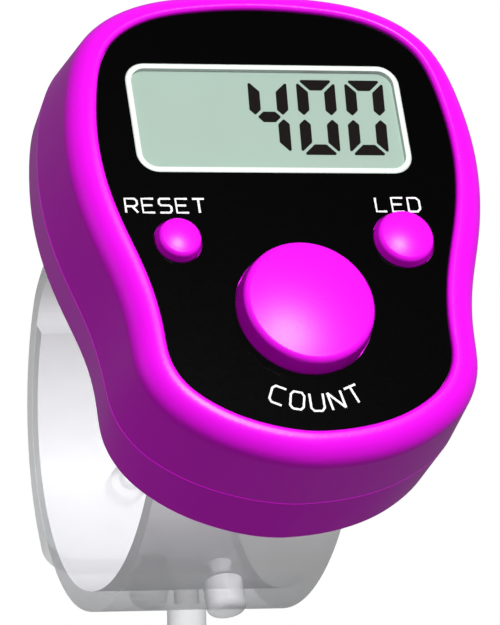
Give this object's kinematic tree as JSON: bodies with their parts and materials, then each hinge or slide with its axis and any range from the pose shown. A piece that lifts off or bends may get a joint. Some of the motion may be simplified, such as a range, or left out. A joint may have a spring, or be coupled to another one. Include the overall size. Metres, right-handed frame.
{
  "type": "finger tally counter",
  "caption": "Finger-worn electronic tally counter: moulded housing with a display and push buttons, on a pegged silicone strap.",
  "frame": {"origin": "centre of the round lower half of the strap's finger loop", "axes": "+Z out of the face, +Y towards the display end, +X to the right of the face and along the finger"},
  "size_m": [0.0302, 0.0373, 0.0471],
  "materials": {
    "magenta_plastic": "polished ABS",
    "black_panel": "satin printed sheet",
    "white_print": "matt",
    "clear_window": "clear acrylic",
    "display_glass": "grey-green reflective display",
    "display_ink": "dark",
    "reflector_film": "pearl film",
    "light_guide": "clear acrylic",
    "led_resin": "resin",
    "black_rubber": "matt",
    "green_board": "lacquered board",
    "black_resin": "cast resin",
    "spring_steel": "bright",
    "nickel_contact": "nickel plated",
    "silicone": "clear, milky"
  },
  "bodies": {
    "housing": {"front_shell": "magenta_plastic", "back_shell": "magenta_plastic", "shell_screws": "spring_steel", "face_panel": "black_panel", "display_frame": "white_print", "display_window": "clear_window", "lcd_cell": "display_glass", "lcd_digits": "display_ink", "lcd_reflector": "reflector_film", "light_guide": "light_guide", "backlight_led": "led_resin", "elastomer_strip": "black_rubber", "circuit_board": "green_board", "controller_blob": "black_resin", "surface_mount_parts": "black_resin", "count_dome": "spring_steel", "reset_dome": "spring_steel", "led_dome": "spring_steel", "negative_contact": "nickel_contact", "positive_contact": "nickel_contact", "button_cell": "nickel_contact", "strap_pin_front": "spring_steel", "strap_pin_rear": "spring_steel"},
    "count_key": {"count_button": "magenta_plastic"},
    "reset_key": {"reset_button": "magenta_plastic"},
    "led_key": {"led_button": "magenta_plastic"},
    "cover": {"battery_cover": "magenta_plastic"},
    "peg_band": {"strap_peg_band": "silicone"},
    "hole_band": {"strap_hole_band": "silicone"}
  },
  "joints": [
    {"name": "count_press", "type": "slide", "parent": "housing", "child": "count_key", "axis": [0, 0, -1], "range_m": [0, 0.00045], "stiffness_N_per_m": 1500, "springref_m": -0.0005, "deforming": ["count_dome"]},
    {"name": "reset_press", "type": "slide", "parent": "housing", "child": "reset_key", "axis": [0, 0, -1], "range_m": [0, 0.0004], "stiffness_N_per_m": 1500, "springref_m": -0.0005, "deforming": ["reset_dome"]},
    {"name": "led_press", "type": "slide", "parent": "housing", "child": "led_key", "axis": [0, 0, -1], "range_m": [0, 0.0004], "stiffness_N_per_m": 1500, "springref_m": -0.0005, "deforming": ["led_dome"]},
    {"name": "cover_turn", "type": "hinge", "parent": "housing", "child": "cover", "pos_m": [0, 0, 0.0174], "axis": [0, 0, 1], "range_deg": [0, 60]},
    {"name": "hole_band_swing", "type": "hinge", "parent": "housing", "child": "hole_band", "pos_m": [0, 0.01018, 0.01519], "axis": [1, 0, 0], "range_deg": [0, 55], "deforming": ["strap_peg_band"]},
    {"name": "peg_band_swing", "type": "hinge", "parent": "housing", "child": "peg_band", "pos_m": [0, -0.01018, 0.01519], "axis": [-1, 0, 0], "range_deg": [0, 55], "deforming": ["strap_peg_band"]}
  ]
}
